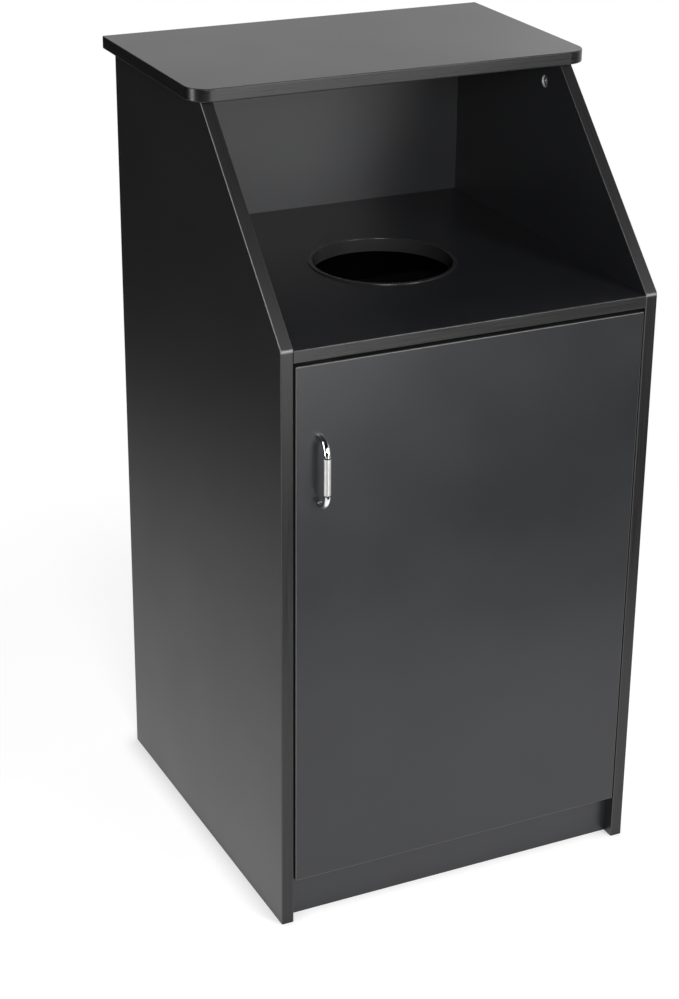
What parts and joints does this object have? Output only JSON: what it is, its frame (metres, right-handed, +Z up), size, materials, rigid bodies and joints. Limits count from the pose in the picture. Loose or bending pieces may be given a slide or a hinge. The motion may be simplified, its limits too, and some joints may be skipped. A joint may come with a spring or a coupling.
{
  "type": "trash can cabinet",
  "caption": "Black laminate trash cabinet with a tray top, slanted sides, a round waste hole in an open bay, an inset door with a bow handle and a liner bin inside.",
  "frame": {"origin": "middle of the cabinet's footprint, handle included, at floor level", "axes": "+Z up, the door faces -Y, the door is hinged on the +X side"},
  "size_m": [0.5968, 0.5968, 1.143],
  "materials": {
    "black_laminate": "black satin laminate on particle board",
    "edge_band": "black satin edging strip",
    "ring_plastic": "glossy black moulded plastic",
    "cam_zinc": "zinc die casting",
    "fastener_steel": "zinc-plated steel",
    "beech": "plain beech",
    "nickel_steel": "nickel-plated steel",
    "handle_chrome": "polished chrome",
    "handle_satin": "satin turned metal",
    "catch_plastic": "black moulded plastic",
    "magnet": "dark ferrite magnet",
    "bin_plastic": "dark grey moulded plastic"
  },
  "bodies": {
    "cabinet": {"side_left": "black_laminate", "side_right": "black_laminate", "top_panel": "black_laminate", "deck_panel": "black_laminate", "back_panel": "black_laminate", "bottom_panel": "black_laminate", "toe_kick": "black_laminate", "top_edge_band": "edge_band", "side_left_edge_band": "edge_band", "side_right_edge_band": "edge_band", "deck_edge_band": "edge_band", "waste_ring": "ring_plastic", "cam_locks": "cam_zinc", "cam_bolts": "fastener_steel", "dowels": "beech", "hinge_plates": "nickel_steel", "hinge_plate_screws": "fastener_steel", "hinge_arms": "nickel_steel", "hinge_arm_screws": "fastener_steel", "catch_body": "catch_plastic", "catch_magnet": "magnet", "catch_screws": "fastener_steel"},
    "door": {"door_panel": "black_laminate", "door_edge_band": "edge_band", "handle_ends": "handle_chrome", "handle_grip": "handle_satin", "handle_screws": "fastener_steel", "hinge_cups": "nickel_steel", "hinge_cup_screws": "fastener_steel", "hinge_pins": "nickel_steel", "catch_strike": "nickel_steel", "catch_strike_screw": "fastener_steel"},
    "bin": {"liner_bin": "bin_plastic"}
  },
  "joints": [
    {"name": "door_hinge", "type": "hinge", "parent": "cabinet", "child": "door", "pos_m": [0.23695, -0.26345, 0.45275], "axis": [0, 0, 1], "range_deg": [0, 95]},
    {"name": "bin_slide", "type": "slide", "parent": "cabinet", "child": "bin", "axis": [0, -1, 0], "range_m": [-0.065, 0.045]}
  ]
}
